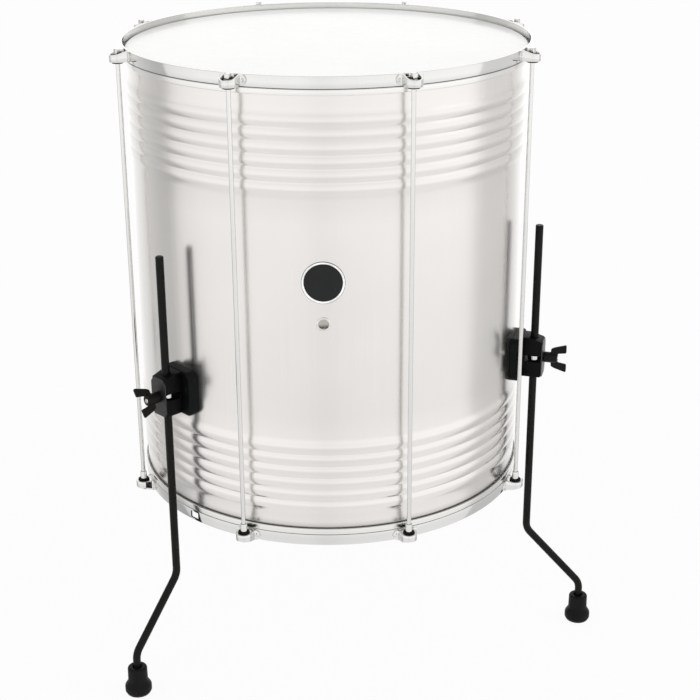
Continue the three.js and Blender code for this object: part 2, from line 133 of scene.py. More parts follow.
def new_paint(name, plain):
    """A material and its Principled shader, with the plain values on the shader's own sockets."""
    material = bpy.data.materials.new(name)
    material.use_nodes = True
    shader = material.node_tree.nodes["Principled BSDF"]
    for socket, value in plain.items():
        shader.inputs[socket].default_value = value
    return material, shader


def add_bump(tree, shader, height, depth):
    """Feeds a height to the shader's normal."""
    bump = step(tree, "ShaderNodeBump")
    bump.inputs["Distance"].default_value = depth
    bump.inputs["Strength"].default_value = 1.0
    tree.links.new(height, bump.inputs["Height"])
    tree.links.new(bump.outputs[0], shader.inputs["Normal"])


def new_finish(name, effect, colour, roughness, depth, plain, **sizes):
    """A material with an effect in it and bumps of a depth. Gives it, its shader and the effect's colour."""
    material, shader = new_paint(name, plain)
    tree = material.node_tree
    skin = step(tree, "ShaderNodeGroup", node_tree=effect)
    for socket, value in dict(sizes, Colour=(*colour, 1), Roughness=roughness).items():
        skin.inputs[socket].default_value = value
    tree.links.new(skin.outputs["Colour"], shader.inputs["Base Color"])
    tree.links.new(skin.outputs["Roughness"], shader.inputs["Roughness"])
    if depth:
        add_bump(tree, shader, skin.outputs["Height"], depth)
    return material, shader, skin.outputs["Colour"]


# Metal that has been rolled or polished: a drift of tone, fine streaks along one way, and a little haze
metal_skin, entry = new_effect(
    "Metal skin", Colour=(0.8, 0.8, 0.8, 1), Roughness=0.15, Haze=0.05, Long=2.0, Fine=900.0)
place = object_place(metal_skin)
spot = split(metal_skin, place)
stretched = step(metal_skin, "ShaderNodeCombineXYZ", *(
    figure(metal_skin, "MULTIPLY", spot[k], entry[way]) for k, way in enumerate(("Fine", "Fine", "Long"))))
streaks = noise(metal_skin, stretched.outputs[0], 1.0, 3.0, 0.6)
cloud = noise(metal_skin, place, 7.0, 3.0, 0.55)
tone = figure(metal_skin, "ADD", between(metal_skin, cloud, 0.3, 0.7, 0.965, 1.0),
              between(metal_skin, streaks, 0.3, 0.7, -0.012, 0.012))
haze = figure(metal_skin, "MULTIPLY", entry["Haze"],
              figure(metal_skin, "ADD", cloud, between(metal_skin, streaks, 0.25, 0.75, -0.6, 0.6)))
finish_effect(metal_skin, entry["Colour"], tone, figure(metal_skin, "ADD", entry["Roughness"], haze), streaks)

# The sheet's own finish, darkened with painted shade just above the bottom flesh hoop
aluminium, shader, unshaded = new_finish(
    "bright_aluminium", metal_skin, (0.81, 0.785, 0.762), 0.2, 0.000004, {"Metallic": 1}, Haze=0.07, Long=3.0)
tree = aluminium.node_tree
rim_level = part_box("bottom_flesh_hoop")[1].z
level = split(tree, object_place(tree))[2]
# Painted shade: the colour darkens towards the bottom flesh hoop
rim_shade = between(tree, level, rim_level - 0.5 * mm, rim_level + rim_shade_reach, rim_shade_share, 0.0)
tree.links.new(blend(tree, rim_shade, unshaded, rim_shade_colour), shader.inputs["Base Color"])


def new_form(name, **sizes):
    """A Geometry Nodes tree with a geometry in and out, and named sizes. Gives the tree and its inputs."""
    tree = bpy.data.node_groups.new(name, "GeometryNodeTree")
    tree.is_modifier = True
    for way in ("OUTPUT", "INPUT"):
        tree.interface.new_socket("Geometry", in_out=way, socket_type="NodeSocketGeometry")
    kinds = {int: "NodeSocketInt", float: "NodeSocketFloat", bpy.types.Material: "NodeSocketMaterial"}
    for size, value in sizes.items():
        kind = kinds[type(value)]
        tree.interface.new_socket(size, in_out="INPUT", socket_type=kind).default_value = value
    return tree, tree.nodes.new("NodeGroupInput").outputs


def finish_form(tree, geometry, material):
    """Ends a Geometry Nodes tree: real geometry, in its material."""
    real = step(tree, "GeometryNodeRealizeInstances", geometry)
    dressed = step(tree, "GeometryNodeSetMaterial", real.outputs[0], None, material)
    step(tree, "NodeGroupOutput", dressed.outputs[0])


def add_form(piece, tree, **sizes):
    """Puts a Geometry Nodes tree on a piece, with its own sizes."""
    modifier = piece.modifiers.new(tree.name, "NODES")
    modifier.node_group = tree
    for item in tree.interface.items_tree:
        if item.in_out == "INPUT" and item.name in sizes:
            modifier[item.identifier] = sizes[item.name]


# The rolled sheet is a flat grid whose columns go round the drum and whose rows go up it, shared out at these
# marks
sheet, size = new_form("Rolled shell", Bottom=0.2, Top=0.8, Radius=0.25, Edge=0.004, Beads=6, Pitch=0.0158,
                       Rise=0.0018, Margin=0.034)
times, plus, less = (partial(figure, sheet, kind) for kind in ("MULTIPLY", "ADD", "SUBTRACT"))
columns, rows, bead_fullness = 193, 173, 0.72
marks = (0.05, 0.08, 0.47, 0.53, 0.92, 0.95)
grid = step(sheet, "GeometryNodeMeshGrid", 1.0, 1.0, columns, rows).outputs["Mesh"]
spot = split(sheet, step(sheet, "GeometryNodeInputPosition").outputs[0])
turn, row = times(plus(spot[0], 0.5), 2 * pi), plus(spot[1], 0.5)
low_turn = between(sheet, row, 0.0, marks[0], pi / 2, 0.0)
high_turn = between(sheet, row, marks[-1], 1.0, 0.0, pi / 2)
beads = times(size["Beads"], size["Pitch"])
margin = less(size["Margin"], size["Edge"])
middle = less(less(size["Top"], size["Bottom"]), times(2.0, plus(size["Margin"], beads)))
level = plus(size["Bottom"], size["Edge"])
for start, end, length in zip(marks, marks[1:], (margin, beads, middle, beads, margin)):
    level = plus(level, times(between(sheet, row, start, end, 0.0, 1.0), length))
level = less(level, times(size["Edge"], figure(sheet, "SINE", low_turn)))
level = plus(level, times(size["Edge"], figure(sheet, "SINE", high_turn)))
swells = []
for start, end in (marks[1:3], marks[3:5]):
    turns = times(between(sheet, row, start, end, 0.0, pi), size["Beads"])
    wave = figure(sheet, "ABSOLUTE", figure(sheet, "SINE", turns))
    swells.append(figure(sheet, "POWER", wave, bead_fullness))
reach = plus(size["Radius"], times(size["Rise"], plus(*swells)))
for bend in (low_turn, high_turn):
    reach = less(reach, times(size["Edge"], less(1.0, figure(sheet, "COSINE", bend))))
x = times(reach, figure(sheet, "SINE", turn))
y = times(times(reach, figure(sheet, "COSINE", turn)), -1.0)
moved = step(sheet, "ShaderNodeCombineXYZ", x, y, level).outputs[0]
rolled = step(sheet, "GeometryNodeSetPosition", grid, True, moved)
placed = step(sheet, "GeometryNodeTransform", rolled.outputs[0])
placed.inputs["Translation"].default_value = drum_axis
welded = step(sheet, "GeometryNodeMergeByDistance", placed.outputs[0])
welded.inputs["Distance"].default_value = 0.01 * mm
finish_form(sheet, welded.outputs[0], aluminium)


def shown(name, mesh):
    """A mesh as an object of the scene."""
    piece = bpy.data.objects.new(name, mesh)
    bpy.context.scene.collection.objects.link(piece)
    return piece


def settled(piece, crease=35):
    """The piece with its modifiers made into a plain mesh, smooth but for edges sharper than the crease."""
    bpy.context.view_layer.update()
    graph = bpy.context.evaluated_depsgraph_get()
    mesh = bpy.data.meshes.new_from_object(piece.evaluated_get(graph))
    mesh.name = piece.name
    piece.modifiers.clear()
    piece.data = mesh
    mesh.shade_smooth()
    mesh.set_sharp_from_angle(angle=radians(crease))
    return piece


def skinned(solid, rings, ends=()):
    """Faces between neighbouring rings of corners, and over the end rings, all turned outwards."""
    for low, high in zip(rings, rings[1:]):
        for i in range(len(low)):
            j = (i + 1) % len(low)
            corners = list(dict.fromkeys([low[i], low[j], high[j], high[i]]))
            if len(corners) > 2:
                solid.faces.new(corners)
    for end in ends:
        solid.faces.new(end)
    bmesh.ops.recalc_face_normals(solid, faces=solid.faces)
    return solid


def spun(outline, sides):
    """A solid of revolution about Z from an outline of (radius, height), closed on itself or on the axis."""
    solid, rings, on_axis = bmesh.new(), [], 1e-7
    turns = [2 * pi * i / sides for i in range(sides)]
    for radius, height in outline:
        if radius < on_axis:
            rings.append([solid.verts.new((0, 0, height))] * sides)
        else:
            rings.append([solid.verts.new((radius * sin(t), -radius * cos(t), height)) for t in turns])
    return skinned(solid, rings + rings[:1] if outline[0][0] > on_axis else rings)


def pin(radius, low, high, sides):
    """A plain round bar along Z, to cut a hole with."""
    return spun([(0, low), (radius, low), (radius, high), (0, high)], sides)


def outwards(angle, level=0.0, radius=0.0):
    """Puts a shape whose Z axis points outwards on the drum's side, at an angle, a level and a radius."""
    turn = Matrix.Rotation(radians(angle), 4, "Z") @ Matrix.Rotation(pi / 2, 4, "X")
    return Matrix.Translation(drum_axis + Vector((0, 0, level))) @ turn @ Matrix.Translation((0, 0, radius))


def moulded(parts):
    """One mesh from pairs of a solid and its place."""
    whole = bmesh.new()
    for solid, place in parts:
        copy = solid.copy()
        copy.transform(place)
        mesh = bpy.data.meshes.new("part")
        copy.to_mesh(mesh)
        copy.free()
        whole.from_mesh(mesh)
        bpy.data.meshes.remove(mesh)
    mesh = bpy.data.meshes.new("whole")
    whole.to_mesh(mesh)
    whole.free()
    return mesh


def cut_out(piece, tools, crease=35, crossing=False):
    """Cuts tools out of a piece, each made of pairs of a solid and its place, and settles it."""
    tools = [shown("tool", moulded(tool)) for tool in tools]
    for tool in tools:
        cut = piece.modifiers.new("cut", "BOOLEAN")
        cut.operation, cut.solver, cut.object, cut.use_self = "DIFFERENCE", "EXACT", tool, crossing
    settled(piece, crease)
    for tool in tools:
        bpy.data.objects.remove(tool)
    return piece


def put_on(piece, material, slot, body, *nodes):
    """Dresses a finished piece and fixes it to its body, in place of the nodes that it stands for."""
    piece.data.materials.clear()
    piece.data.materials.append(material)
    piece.data.polygons.foreach_set("material_index", [0] * len(piece.data.polygons))
    if nodes:
        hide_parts(*nodes)
    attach(piece, body)


shell = shown("shell_sheet", bpy.data.meshes.new("shell"))
add_form(shell, sheet, Bottom=shell_bottom, Top=shell_top, Radius=shell_radius, Edge=edge_bend,
         Beads=bead_count, Pitch=bead_pitch, Rise=bead_height, Margin=bead_margin)
wall = shell.modifiers.new("wall", "SOLIDIFY")
wall.thickness, wall.offset = shell_wall, -1
drill = [(pin(vent_hole + 1 * mm, drill_in, drill_out, 48), outwards(0, vent_level, shell_radius))]
drill += [(pin(fixing_hole, drill_in, drill_out, 24), outwards(angle, level, shell_radius))
          for angle in leg_angles for level in fixing_levels]
put_on(cut_out(shell, [drill]), aluminium, "aluminium", "drum", "shell")


# Vent: a chromed eyelet pressed through the shell at half height, rolled over on both sides so that it stays
# put. It is one turned ring, and the air goes through its middle.
vent_flange, vent_neck, vent_back, vent_front = 8.7 * mm, vent_hole + 0.8 * mm, -3.2 * mm, 1.5 * mm
chrome = new_finish("chrome", metal_skin, (0.745, 0.74, 0.725), 0.045, 0.000003, {"Metallic": 1}, Haze=0.05,
                    Long=300.0, Fine=300.0)[0]


def eased(corners, ease, steps=4):
    """A closed outline with its corners rounded; a third number at a corner is its own radius."""
    line = []
    for i, corner in enumerate(corners):
        here = Vector(corner[:2])
        back = Vector(corners[i - 1][:2]) - here
        on = Vector(corners[(i + 1) % len(corners)][:2]) - here
        radius = corner[2] if len(corner) > 2 else ease
        half = back.angle(on) / 2
        if radius <= 0 or pi / 2 - half < 0.02:
            line.append(tuple(here))
            continue
        reach = min(radius / tan(half), 0.49 * back.length, 0.49 * on.length)
        radius = reach * tan(half)
        centre = here + (back.normalized() + on.normalized()).normalized() * (radius / sin(half))
        start, end = here + back.normalized() * reach - centre, here + on.normalized() * reach - centre
        for s in range(steps + 1):
            line.append(tuple(centre + start.lerp(end, s / steps).normalized() * radius))
    return line


def made(name, parts, crease=35):
    """A finished piece from pairs of a solid and its place."""
    return settled(shown(name, moulded(parts)), crease)


eyelet = spun(eased([
    (vent_hole, vent_back), (vent_flange, vent_back), (vent_flange, vent_back + 1.2 * mm),
    (vent_neck, vent_back + 1.2 * mm), (vent_neck, 0.2 * mm, 0), (vent_flange, 0.2 * mm),
    (vent_flange - 0.3 * mm, 0.8 * mm), (vent_flange - 1.3 * mm, vent_front, 1 * mm),
    (vent_hole, vent_front - 0.1 * mm, 0.9 * mm)], 0.3 * mm), 48)
vent = made("vent_eyelet", [(eyelet, outwards(0, vent_level, shell_radius))])
put_on(vent, chrome, "chrome", "drum", "vent_grommet")


# Badge: a thin pressed disc fixed flat to the shell between the middle rods and bent to its curve. It is left
# bare: a black enamelled field inside a white rim, and a black edge that is a painted contact shadow.
badge_radius, badge_field, badge_level = 25.7 * mm, 22.9 * mm, 559 * mm
badge_back, badge_face, field_face, badge_shadow_edge = 0.15 * mm, 0.9 * mm, 0.55 * mm, 0.55 * mm

orange_peel, entry = new_effect("Orange peel", Colour=(0.01, 0.01, 0.01, 1), Roughness=0.4, Grain=900.0)
place = object_place(orange_peel)
grain = noise(orange_peel, place, entry["Grain"], 2.0, 0.5)
cloud = noise(orange_peel, place, 45.0, 3.0, 0.6)
uneven = figure(orange_peel, "ADD", entry["Roughness"], between(orange_peel, cloud, 0.3, 0.7, -0.05, 0.06))
finish_effect(orange_peel, entry["Colour"], between(orange_peel, cloud, 0.3, 0.7, 0.75, 1.35), uneven, grain)


def sprayed(name, colour, roughness, grain, depth, gloss, ior=1.5):
    """A painted, moulded or cast finish, with the grain of its surface."""
    plain = {"Specular IOR Level": gloss, "IOR": ior}
    return new_finish(name, orange_peel, colour, roughness, depth, plain, Grain=grain)[0]


enamel = sprayed("black_enamel", (0.004, 0.005, 0.005), 0.28, 1500.0, 0.01 * mm, 0.3)
rim_enamel = sprayed("white_enamel", (0.97, 0.97, 0.96), 0.28, 1500.0, 0.01 * mm, 0.4)


def wrapped(solid, level, radius):
    """Bends a flat shape, drawn with Z outwards, round the front of the drum."""
    for vert in solid.verts:
        sweep, out = vert.co.x / radius, radius + vert.co.z
        vert.co = drum_axis + Vector((out * sin(sweep), -out * cos(sweep), level + vert.co.y))
    return solid


def second_coat(piece, material, chosen):
    """Gives a second material to the faces that are chosen by their middle and their normal."""
    piece.data.materials.append(material)
    for face in piece.data.polygons:
        if chosen(face.center, face.normal):
            face.material_index = 1


def on_badge_rim(middle, way):
    """Whether a face is on the badge's raised rim, short of its edge, which stays black as a painted shadow.
    """
    x, y, rise = middle - drum_axis - Vector((0, 0, badge_level))
    spread = sqrt((shell_radius * atan2(x, -y)) ** 2 + rise ** 2)
    return badge_field - 0.1 * mm < spread < badge_radius - badge_shadow_edge and (
        sqrt(x ** 2 + y ** 2) > shell_radius + 2 * badge_back)


disc = spun([(badge_radius * i / 16, badge_back) for i in range(17)] + [
    (badge_radius, badge_face - 0.35 * mm), (badge_radius - 0.15 * mm, badge_face - 0.1 * mm),
    (badge_radius - 0.5 * mm, badge_face), (badge_field + 0.5 * mm, badge_face),
    (badge_field + 0.1 * mm, badge_face - 0.1 * mm)] + [
    (badge_field * i / 14, field_face) for i in range(14, -1, -1)], 96)
badge = made("badge_bare_disc", [(wrapped(disc, badge_level, shell_radius), Matrix())])
put_on(badge, enamel, "black_plastic", "drum")
second_coat(badge, rim_enamel, on_badge_rim)


# Heads: clear-coated white plastic film, drawn over the turned edge of the shell at both ends and down inside
# the flesh hoop. It is smooth, with a slight orange peel that softens what it mirrors. Its inner face glows
# with painted light, standing in for the light that comes through the film into the drum.
head_plane, film_thickness, bend_radius = shell_top + 0.8 * mm, 0.5 * mm, edge_bend + 0.8 * mm
bend_centre = (shell_radius - edge_bend, head_plane - bend_radius)
skirt_end = head_plane - 12.8 * mm

film, shader = new_paint("white_film", {"Coat Weight": 0.25, "Coat Roughness": 0.1})
tree = film.node_tree
place = object_place(tree)
mist = noise(tree, place, 9.0, 3.0, 0.6)
milky = blend(tree, between(tree, mist, 0.35, 0.65, 0.0, 1.0), (0.88, 0.88, 0.862, 1), (0.91, 0.91, 0.9, 1))
tree.links.new(milky, shader.inputs["Base Color"])
tree.links.new(between(tree, mist, 0.35, 0.65, 0.2, 0.27), shader.inputs["Roughness"])
add_bump(tree, shader, noise(tree, place, 420.0, 2.0, 0.5), 0.01 * mm)

# Painted light: the film's inner face emits, standing in for the light that comes through the heads into the
# drum
film_inside_glow, shader = new_paint("film_inner_face_glow", {
    "Base Color": (0.86, 0.86, 0.85, 1), "Roughness": 0.4, "Specular IOR Level": 0.4,
    "Emission Strength": 0.4})
tree = film_inside_glow.node_tree
glow = blend(tree, noise(tree, object_place(tree), 9.0, 3.0, 0.6), (0.9, 0.9, 0.88, 1), (1.0, 1.0, 0.98, 1))
tree.links.new(glow, shader.inputs["Emission Color"])


def bent(radius, first, last, steps=8):
    """Points of a bend in the head's section."""
    turns = [radians(first + (last - first) * i / steps) for i in range(steps + 1)]
    return [(bend_centre[0] + radius * sin(t), bend_centre[1] + radius * cos(t)) for t in turns]


def on_inner_face(middle, way):
    """Whether a face of a head is inside the drum, short of the bend."""
    return abs(middle.z - vent_level) < head_plane - vent_level - 0.3 * mm and (
        (middle - drum_axis).to_2d().length < shell_radius - 6 * mm)


skirt_outer = bend_centre[0] + bend_radius
head_solid = spun([(bend_centre[0] * i / 8, head_plane) for i in range(8)] + bent(bend_radius, 0, 90) + [
    (skirt_outer, skirt_end), (skirt_outer - film_thickness, skirt_end)] + bent(
    bend_radius - film_thickness, 90, 0) + [(0, head_plane - film_thickness)], 192)
to_axis = Matrix.Translation(drum_axis)
to_bottom = to_axis @ Matrix.Translation((0, 0, 2 * vent_level)) @ Matrix.Rotation(pi, 4, "X")
for node, body, place in (("top_head", "top_rim", to_axis), ("bottom_head", "bottom_rim", to_bottom)):
    head = made(node + "_film", [(head_solid, place)])
    put_on(head, film, "head", body, node)
    second_coat(head, film_inside_glow, on_inner_face)


# Flesh hoops: plain aluminium rings round the skirts of the heads, with eased edges. The counterhoops press
# on them, and that stretches the heads. Where they meet the hoop above and the shell, they are darkened
# with painted shade.
flesh_inner, flesh_outer = 252.7 * mm, 255.6 * mm
flesh_low, flesh_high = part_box("top_flesh_hoop")
gap_shade_colour, shade_under_hoop, shade_by_shell = (0.02, 0.02, 0.02, 1), 0.6, 0.5

satin, shader, unshaded = new_finish(
    "satin_aluminium", metal_skin, (0.83, 0.82, 0.8), 0.17, 0.000006, {"Metallic": 1}, Haze=0.08,
    Long=700.0, Fine=60.0)
tree = satin.node_tree
spot = split(tree, object_place(tree))
squares = (figure(tree, "POWER", figure(tree, "SUBTRACT", spot[k], drum_axis[k]), 2.0) for k in (0, 1))
from_axis = figure(tree, "SQRT", figure(tree, "ADD", *squares))
# Painted shade: darkens the gap under the counterhoop and the gap by the shell
gap_shade = figure(tree, "MAXIMUM", between(
    tree, spot[2], flesh_high.z - 1.4 * mm, flesh_high.z - 0.4 * mm, 0.0, shade_under_hoop), between(
    tree, from_axis, flesh_inner + 0.9 * mm, flesh_inner + 1.8 * mm, shade_by_shell, 0.0))
tree.links.new(blend(tree, gap_shade, unshaded, gap_shade_colour), shader.inputs["Base Color"])

flesh_ring = spun(eased([
    (flesh_inner, flesh_low.z), (flesh_outer, flesh_low.z), (flesh_outer, flesh_high.z),
    (flesh_inner, flesh_high.z)], 0.9 * mm, 5), 192)
for end, place in (("top", to_axis), ("bottom", to_bottom)):
    flesh_hoop = made(f"{end}_flesh_hoop_ring", [(flesh_ring, place)])
    put_on(flesh_hoop, satin, "flesh_hoop", f"{end}_rim", f"{end}_flesh_hoop")


# Counterhoops: chromed steel band, 2.2 mm thick and welded into a ring, with eight ears. Each ear is a strap
# bent round the rod, its ends spot-welded to the band, with a lip turned in that the rod's bush bears on. The
# bottom band has a slot punched through it for the hook of a carrying strap.
hoop_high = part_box("top_hoop")[1]
hoop_bottom, hoop_top = hoop_high.z - 14 * mm, hoop_high.z
hoop_inner, hoop_outer, rod_circle = 253.7 * mm, 255.9 * mm, 267.2 * mm
strap_thick, strap_mid, strap_ease, corner_bend = 2.2 * mm, 9.3 * mm, 0.45 * mm, 2.6 * mm
flange_half, flange_round, flange_least = 16.4 * mm, 5 * mm, 0.2
ear_bottom, front_top = hoop_bottom + 1 * mm, hoop_bottom + 9 * mm
lip_thick, lip_hole, pocket = 1.2 * mm, 7.4 * mm, 8.2 * mm
weld_radius, weld_level = 2.5 * mm, hoop_bottom + 7.2 * mm
slot_angle, slot_wide, slot_high, slot_reach = -41.6, 13.5 * mm, 9.5 * mm, 5 * mm
slot_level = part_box("bottom_hoop")[0].z + 7 * mm


def strap_line():
    """The middle of the ear's strap in plan, from flange to flange round the rod, with its outer side."""
    run = hoop_outer + strap_thick / 2
    root = sqrt(run ** 2 - (strap_mid + corner_bend) ** 2)
    line = []
    for side in (-1, 1):
        half = []
        for inset in (0, 0.25, 0.9, 1.9, 3.2, 4.6):
            y = flange_half - inset * mm
            half.append(((sqrt(run ** 2 - y ** 2), side * y), (1, side * y / run)))
        for t in (pi / 2 * i / 6 for i in range(1, 7)):
            spot = (root + corner_bend * (1 - cos(t)), side * (strap_mid + corner_bend * (1 - sin(t))))
            half.append((spot, (cos(t), side * sin(t))))
        for t in (pi / 2 * i / 12 for i in range(13)):
            out = (sin(t), side * cos(t))
            half.append(((rod_circle + strap_mid * out[0], strap_mid * out[1]), out))
        line += half if side < 0 else half[-2::-1]
    return [(Vector(spot), Vector(out).normalized()) for spot, out in line]


def strap_solid():
    """The strap itself: a ribbon on edge, its rim sloping down to the front, its ends and edges rounded."""
    solid, rings = bmesh.new(), []
    half, ease, nip = strap_thick / 2, strap_ease, strap_ease * 0.3
    root, front = hoop_outer + strap_thick, rod_circle + strap_mid + half
    for spot, out in strap_line():
        slope = min(max((spot.x - root) / (front - root), 0), 1)
        top, foot = hoop_top + (front_top - hoop_top) * slope, ear_bottom
        left = max(flange_half - abs(spot.y), 0) / flange_round
        if left < 1 and slope == 0:
            middle, share = (top + foot) / 2, max(sqrt(1 - (1 - left) ** 2), flange_least)
            top, foot = middle + (top - middle) * share, middle + (foot - middle) * share
        section = [(-half, foot + ease), (-half + nip, foot + nip), (-half + ease, foot),
                   (half - ease, foot), (half - nip, foot + nip), (half, foot + ease),
                   (half, top - ease), (half - nip, top - nip), (half - ease, top),
                   (-half + ease, top), (-half + nip, top - nip), (-half, top - ease)]
        rings.append([solid.verts.new((*(spot + out * u), z)) for u, z in section])
    return skinned(solid, rings, (rings[0], rings[-1]))


def loop_outline(half, start, steps=12):
    """The rod's pocket in plan, inside the strap."""
    arc = [(rod_circle + half * cos(t), half * sin(t))
           for t in (pi * i / steps - pi / 2 for i in range(steps + 1))]
    return [(start, -half)] + arc + [(start, half)]


def circle(radius, x=0.0, sides=32):
    """A round outline on the X axis."""
    return [(x + radius * cos(2 * pi * i / sides), radius * sin(2 * pi * i / sides)) for i in range(sides)]


def rounded(left, right, half_high, ease, steps=4):
    """A rectangle's outline with rounded corners."""
    corners = [(left, -half_high), (right, -half_high), (right, half_high), (left, half_high)]
    return eased(corners, ease, steps)


def taken_up(piece):
    """The solid of a helper, which leaves the scene."""
    bpy.context.view_layer.update()
    graph = bpy.context.evaluated_depsgraph_get()
    mesh = bpy.data.meshes.new_from_object(piece.evaluated_get(graph))
    bpy.data.objects.remove(piece)
    solid = bmesh.new()
    solid.from_mesh(mesh)
    bpy.data.meshes.remove(mesh)
    return solid


def plate(outlines, low, high, ease, steps=3):
    """A flat plate of a closed outline, with any holes after it, and eased edges."""
    line = bpy.data.curves.new("plate", "CURVE")
    line.dimensions, line.fill_mode, line.offset = "2D", "BOTH", -ease
    line.extrude, line.bevel_depth, line.bevel_resolution = (high - low) / 2 - ease, ease, steps
    for i, points in enumerate(outlines):
        area = sum(a[0] * b[1] - b[0] * a[1] for a, b in zip(points, points[1:] + points[:1]))
        if (area > 0) == (i > 0):
            points = points[::-1]
        spline = line.splines.new("POLY")
        spline.points.add(len(points) - 1)
        for target, point in zip(spline.points, points):
            target.co = (point[0], point[1], 0, 1)
        spline.use_cyclic_u = True
    solid = taken_up(shown("plate", line))
    bmesh.ops.remove_doubles(solid, verts=solid.verts, dist=1e-7)
    bmesh.ops.translate(solid, verts=solid.verts, vec=(0, 0, (low + high) / 2))
    bmesh.ops.recalc_face_normals(solid, faces=solid.faces)
    return solid


lip = plate([loop_outline(pocket + 0.3 * mm, hoop_outer - 0.2 * mm), circle(lip_hole, rod_circle)],
            ear_bottom, ear_bottom + lip_thick, 0.2 * mm, 1)
weld = spun([(0, -0.3 * mm), (weld_radius, -0.3 * mm), (weld_radius, 0), (weld_radius - 0.3 * mm, 0.5 * mm),
             (weld_radius - 0.7 * mm, 0.6 * mm), (weld_radius - 1.2 * mm, 0.1 * mm), (0, 0.05 * mm)], 24)
ear_parts = [(strap_solid(), Matrix()), (lip, Matrix())]
for side in (-1, 1):
    lean = atan2(side * (strap_mid + corner_bend + 1.4 * mm), hoop_outer)
    seat = Matrix.Translation((cos(lean) * (hoop_outer + strap_thick - 0.04 * mm),
                               sin(lean) * (hoop_outer + strap_thick), weld_level))
    ear_parts.append((weld, seat @ Matrix.Rotation(lean, 4, "Z") @ Matrix.Rotation(pi / 2, 4, "Y")))

ring, size = new_form("Ring of fittings", Count=8, First=22.5, Finish=chrome)
turn = figure(ring, "MULTIPLY_ADD", step(ring, "GeometryNodeInputIndex").outputs[0],
              figure(ring, "DIVIDE", 2 * pi, size["Count"]),
              figure(ring, "RADIANS", figure(ring, "SUBTRACT", size["First"], 90.0)))
spots = step(ring, "GeometryNodePoints", size["Count"]).outputs[0]
copies = step(ring, "GeometryNodeInstanceOnPoints", spots)
ring.links.new(size["Geometry"], copies.inputs["Instance"])
ring.links.new(step(ring, "ShaderNodeCombineXYZ", 0.0, 0.0, turn).outputs[0], copies.inputs["Rotation"])
placed = step(ring, "GeometryNodeTransform", copies.outputs[0])
placed.inputs["Translation"].default_value = drum_axis
finish_form(ring, placed.outputs[0], size["Finish"])


def ring_of_eight(name, finish, parts):
    """A fitting, drawn at the rods' circle, repeated round the drum."""
    piece = shown(name, moulded(parts))
    add_form(piece, ring, Count=8, First=22.5, Finish=finish)
    return settled(piece)


band = spun(eased([(hoop_inner, hoop_bottom), (hoop_outer, hoop_bottom), (hoop_outer, hoop_top),
                   (hoop_inner, hoop_top)], 0.65 * mm, 4), 192)
ears = taken_up(ring_of_eight("ear", chrome, ear_parts))
upside_down = Matrix.Translation((0, 2 * drum_axis.y, 2 * vent_level)) @ Matrix.Rotation(pi, 4, "X")
to_slot = outwards(slot_angle, slot_level, hoop_outer)
from_slot = to_slot.inverted()
slot_line = rounded(-slot_wide / 2, slot_wide / 2, slot_high / 2, 0.8 * mm)
punch = plate([slot_line], -slot_reach, slot_reach, 0.01 * mm, 0)
top_hoop = made("top_counterhoop", [(band, to_axis), (ears, Matrix())], 40)
bottom_hoop = cut_out(shown("bottom_counterhoop", moulded([(band, to_bottom), (ears, upside_down)])),
                      [[(punch, to_slot)]], 40, crossing=True)
put_on(top_hoop, chrome, "chrome", "top_rim", "top_hoop")
put_on(bottom_hoop, chrome, "chrome", "bottom_rim", "bottom_hoop")


def on_slot_wall(middle, way):
    """Whether a face is one of the walls of the strap's slot."""
    spot, facing = from_slot @ middle, from_slot.to_3x3() @ way
    return abs(facing.z) < 0.4 and abs(spot.x) < slot_wide / 2 + 0.1 * mm and (
        abs(spot.y) < slot_high / 2 + 0.1 * mm) and abs(spot.z) < slot_reach


# Painted shade: the slot's walls are near black, partly the raw punched steel and partly shade painted in
# where the slot looks dark
punched = new_finish("punched_edge_painted_shade", metal_skin, (0.03, 0.03, 0.03), 0.5, 0, {
    "Metallic": 0.6, "Specular IOR Level": 0.3}, Haze=0.1, Long=500.0, Fine=500.0)[0]
second_coat(bottom_hoop, punched, on_slot_wall)


# Bushes: black nylon, pushed into the ears. Each fills its pocket round a bore and stands out through the
# lip. The top ones carry the rods' heads, and the bottom ones the nuts.
bush_bottom = ear_bottom + lip_thick + 0.3 * mm
bush_top, neck_end, neck_radius = bush_bottom + 4.5 * mm, ear_bottom - 1.9 * mm, lip_hole - 0.25 * mm
nylon = sprayed("black_nylon", (0.003, 0.003, 0.003), 0.45, 1800.0, 0.01 * mm, 0.2, 1.25)
for end, bore in (("top", 3 * mm), ("bottom", 4.5 * mm)):
    filling = plate([loop_outline(pocket - 0.2 * mm, hoop_outer + 0.2 * mm), circle(bore, rod_circle)],
                    bush_bottom, bush_top, 0.35 * mm, 2)
    neck = spun(eased([(bore, neck_end), (neck_radius, neck_end), (neck_radius, bush_bottom),
                       (bore, bush_bottom)], 0.4 * mm), 40)
    bush = ring_of_eight(f"{end}_bushes", nylon, [
        (filling, Matrix()), (neck, Matrix.Translation((rod_circle, 0, 0)))])
    if end == "bottom":
        bush.data.transform(upside_down)
    put_on(bush, nylon, "nylon", f"{end}_rim", *(f"{end}_bush_{i}" for i in range(1, 9)))


# Tension rods: eight chromed steel rods the full length of the drum, with a pressed collar and a square head
# for the drum key. They screw into the nuts in the bottom ears, and pull the two counterhoops together.
rod_low, rod_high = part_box("tension_rod_1")
rod_radius, collar_radius, key_half, key_ease = 2.7 * mm, 4.8 * mm, 3.1 * mm, 0.7 * mm
collar_low, collar_high = bush_top + 0.3 * mm, bush_top + 1.7 * mm
key_turns = [12, -18, 35, 5, 40, -30, 22, -8]


def station(angle, out=0.0, level=0.0):
    """Puts a shape drawn with X outwards and Y round the drum at an angle from the front."""
    turn = Matrix.Rotation(radians(angle) - pi / 2, 4, "Z")
    return Matrix.Translation(drum_axis) @ turn @ Matrix.Translation((out, 0, level))


